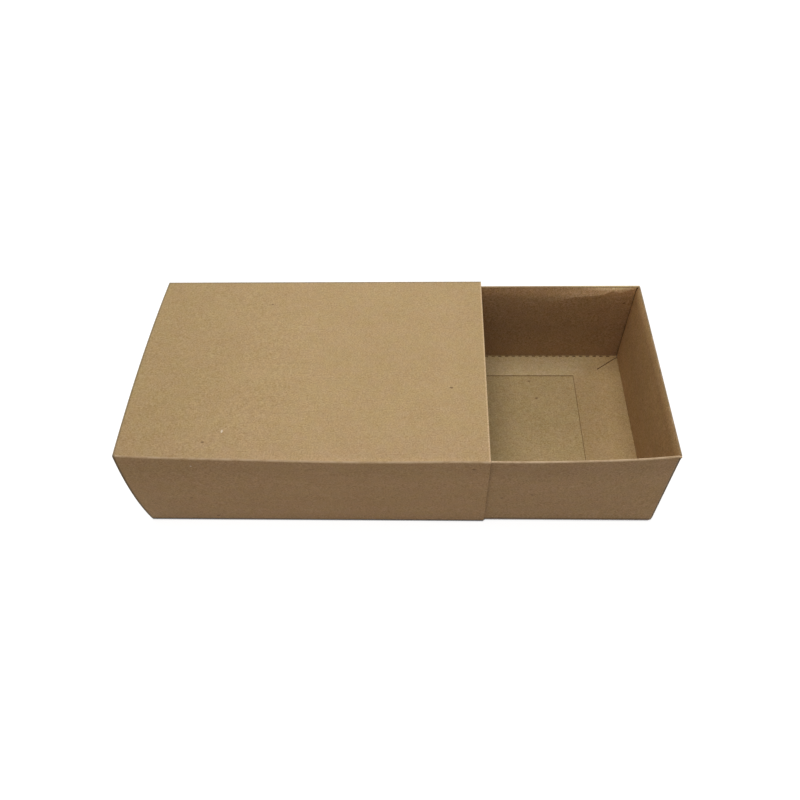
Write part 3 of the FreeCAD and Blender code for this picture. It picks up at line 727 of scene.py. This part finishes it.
class GIFTBOX_OT_stage(bpy.types.Operator):
    """Set the box on a pale floor under soft light, and place the camera"""

    bl_idname = "giftbox.stage"
    bl_label = "Floor, light and camera"

    def execute(self, context):
        settings = context.scene.gift_box_stage
        lay_floor(settings)
        light_sky(context.scene, settings)
        hang_light(context.scene, "top_light", settings.top_light_watts, TOP_LIGHT_HEIGHT)
        hang_light(context.scene, "back_light", settings.back_light_watts, BACK_LIGHT_HEIGHT)
        place_camera(context.scene, settings)
        context.scene.view_settings.view_transform = "Standard"
        return {"FINISHED"}


def seen_directly(graph):
    """1 for what the camera sees, straight, mirrored or through glass, and 0 for other light."""
    path = graph.node("ShaderNodeLightPath")
    seen = graph.maths("ADD", path.outputs["Is Camera Ray"], path.outputs["Is Glossy Ray"])
    return graph.maths("ADD", seen, path.outputs["Is Transmission Ray"], clamp=True)


def lay_floor(settings):
    bpy.ops.object.select_all(action="DESELECT")
    bpy.ops.mesh.primitive_plane_add(size=settings.floor_size, location=(0, 0, 0))
    floor = bpy.context.object
    floor.name = "floor"
    floor.data.materials.append(pale_floor(settings))


def pale_floor(settings):
    """A matt floor that looks white, but for the line of shadow under the box."""
    material = bpy.data.materials.new("pale_floor")
    material.use_nodes = True
    graph = Graph(material.node_tree)
    graph.tree.nodes.clear()
    matt = graph.node("ShaderNodeBsdfDiffuse")
    matt.inputs["Color"].default_value = colour(settings.floor_colour)

    contact = graph.node("ShaderNodeAmbientOcclusion", samples=CONTACT_SAMPLES)
    contact.inputs["Distance"].default_value = CONTACT_REACH
    open_sky = graph.ramp(contact.outputs["AO"], *CONTACT_RANGE, CONTACT_DARKEST, 1.0)
    away = graph.vector_maths("LENGTH", graph.node("ShaderNodeTexCoord").outputs["Object"])
    glow = graph.ramp(away, *NEAR_AND_FAR, NEAR_GLOW, FAR_GLOW)
    white = graph.node("ShaderNodeEmission")
    graph.link(graph.maths("MULTIPLY", open_sky, glow), white.inputs["Strength"])
    shaded = graph.node("ShaderNodeBsdfDiffuse")
    shaded.inputs["Color"].default_value = colour(FLOOR_GREY)
    seen_floor = graph.node("ShaderNodeAddShader")
    graph.link(shaded.outputs["BSDF"], seen_floor.inputs[0])
    graph.link(white.outputs["Emission"], seen_floor.inputs[1])

    mix = graph.node("ShaderNodeMixShader")
    graph.link(seen_directly(graph), mix.inputs["Fac"])
    graph.link(matt.outputs["BSDF"], mix.inputs[1])
    graph.link(seen_floor.outputs["Shader"], mix.inputs[2])
    output = graph.node("ShaderNodeOutputMaterial")
    graph.link(mix.outputs["Shader"], output.inputs["Surface"])
    return material


def light_sky(scene, settings):
    """A white background that lights the box only a little."""
    world = bpy.data.worlds.new("even_sky")
    world.use_nodes = True
    graph = Graph(world.node_tree)
    graph.tree.nodes.clear()
    seen = seen_directly(graph)
    lit = settings.sky_strength
    background = graph.node("ShaderNodeBackground")
    sky = graph.mixed(seen, colour(settings.sky_colour), colour(WHITE))
    graph.link(sky, background.inputs["Color"])
    graph.link(graph.maths("MULTIPLY_ADD", seen, 1.0 - lit, lit), background.inputs["Strength"])
    output = graph.node("ShaderNodeOutputWorld")
    graph.link(background.outputs["Background"], output.inputs["Surface"])
    scene.world = world


def hang_light(scene, name, watts, height):
    """A square soft light that faces the box from behind and above, at an angle of height."""
    lamp = bpy.data.lights.new(name, "AREA")
    lamp.shape = "SQUARE"
    lamp.size = LAMP_SIZE
    lamp.energy = watts
    hung = bpy.data.objects.new(name, lamp)
    away = Vector((LAMP_SIDE, math.cos(height), math.sin(height))).normalized()
    hung.location = LIT_PLACE + away * LAMP_DISTANCE
    hung.rotation_euler = away.to_track_quat("Z", "Y").to_euler()
    scene.collection.objects.link(hung)


def place_camera(scene, settings):
    lens = bpy.data.cameras.new("camera")
    lens.sensor_width = SENSOR_WIDTH
    lens.lens = settings.camera_lens
    lens.shift_x = settings.camera_shift
    lens.clip_start = NEAREST_SEEN
    camera = bpy.data.objects.new("camera", lens)
    place = Matrix.Translation(Vector(settings.camera_place))
    turn = Matrix.Rotation(settings.camera_turn, 4, "Z")
    tilt = Matrix.Rotation(math.pi / 2 - settings.camera_down, 4, "X")
    roll = Matrix.Rotation(settings.camera_roll, 4, "Z")
    camera.matrix_world = place @ turn @ tilt @ roll
    scene.collection.objects.link(camera)
    scene.camera = camera


# ---------------------------------------------------------------- panel and registration

class GIFTBOX_PT_panel(bpy.types.Panel):
    """The gift box's parts and settings"""

    bl_idname = "GIFTBOX_PT_panel"
    bl_label = "Sliding drawer gift box"
    bl_space_type = "VIEW_3D"
    bl_region_type = "UI"
    bl_category = "Gift box"

    def draw(self, context):
        for step in STEPS:
            self.layout.operator(step.bl_idname)
        for settings in (context.scene.kraft_board, context.scene.gift_box_stage):
            for name in settings.__annotations__:
                self.layout.prop(settings, name)


STEPS = (GIFTBOX_OT_sleeve, GIFTBOX_OT_drawer, GIFTBOX_OT_stage)
CLASSES = (KraftBoardSettings, StageSettings, *STEPS, GIFTBOX_PT_panel)


def register():
    for item in CLASSES:
        bpy.utils.register_class(item)
    bpy.types.Scene.kraft_board = bpy.props.PointerProperty(type=KraftBoardSettings)
    bpy.types.Scene.gift_box_stage = bpy.props.PointerProperty(type=StageSettings)


def unregister():
    del bpy.types.Scene.gift_box_stage
    del bpy.types.Scene.kraft_board
    for item in reversed(CLASSES):
        bpy.utils.unregister_class(item)


def main():
    register()
    kraft_fibre_group()
    past_a_line_group()
    turned_faces_group()
    bpy.ops.giftbox.sleeve()
    bpy.ops.giftbox.drawer()
    bpy.ops.giftbox.stage()


if __name__ == "__main__":
    main()
